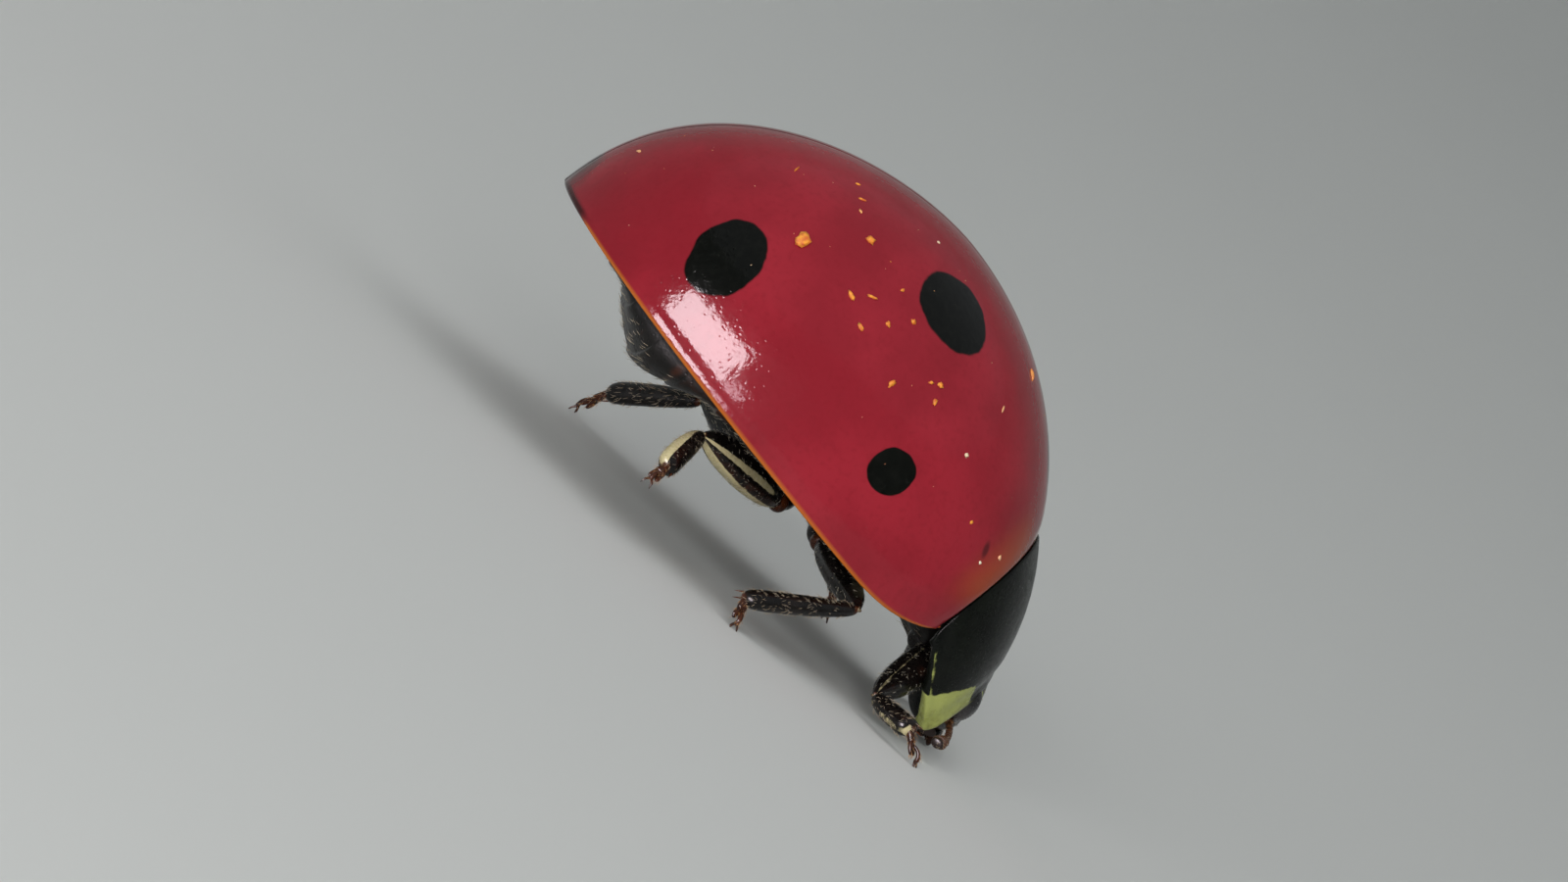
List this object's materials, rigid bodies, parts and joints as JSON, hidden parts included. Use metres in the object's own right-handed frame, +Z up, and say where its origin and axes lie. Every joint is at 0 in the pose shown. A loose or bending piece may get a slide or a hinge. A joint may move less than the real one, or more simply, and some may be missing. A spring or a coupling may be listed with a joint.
{
  "type": "ladybird model",
  "caption": "Life-size still model of a ladybird standing with its head lowered and a hind leg lifted: domed red wing cases with black spots, black neck shield, head and legs.",
  "frame": {"origin": "on the floor under the middle of the bounding box", "axes": "+X towards the head, +Y to the animal's left, +Z up from the floor it stands on"},
  "size_m": [0.0074, 0.0074, 0.0047],
  "materials": {
    "wing_case": "glossy red chitin with black spots",
    "black_plate": "satin black chitin with pale patches",
    "underside": "dull black, finely haired",
    "leg": "satin black, finely haired",
    "eye": "glossy black, faceted",
    "feeler": "dull brown"
  },
  "bodies": {
    "root": {"abdomen": "underside", "antenna_left": "feeler", "antenna_right": "feeler", "coxa_front_left": "leg", "coxa_front_right": "leg", "coxa_hind_left": "leg", "coxa_hind_right": "leg", "coxa_middle_left": "leg", "coxa_middle_right": "leg", "elytron_left": "wing_case", "elytron_right": "wing_case", "eye_left": "eye", "eye_right": "eye", "femur_front_left": "leg", "femur_front_right": "leg", "femur_hind_left": "leg", "femur_hind_right": "leg", "femur_middle_left": "leg", "femur_middle_right": "leg", "head": "black_plate", "mouthparts": "black_plate", "palp_left": "feeler", "palp_right": "feeler", "pronotum": "black_plate", "prothorax": "underside", "scutellum": "black_plate", "tarsus_front_left": "leg", "tarsus_front_right": "leg", "tarsus_hind_left": "leg", "tarsus_hind_right": "leg", "tarsus_middle_left": "leg", "tarsus_middle_right": "leg", "thorax": "underside", "tibia_front_left": "leg", "tibia_front_right": "leg", "tibia_hind_left": "leg", "tibia_hind_right": "leg", "tibia_middle_left": "leg", "tibia_middle_right": "leg"}
  },
  "joints": []
}
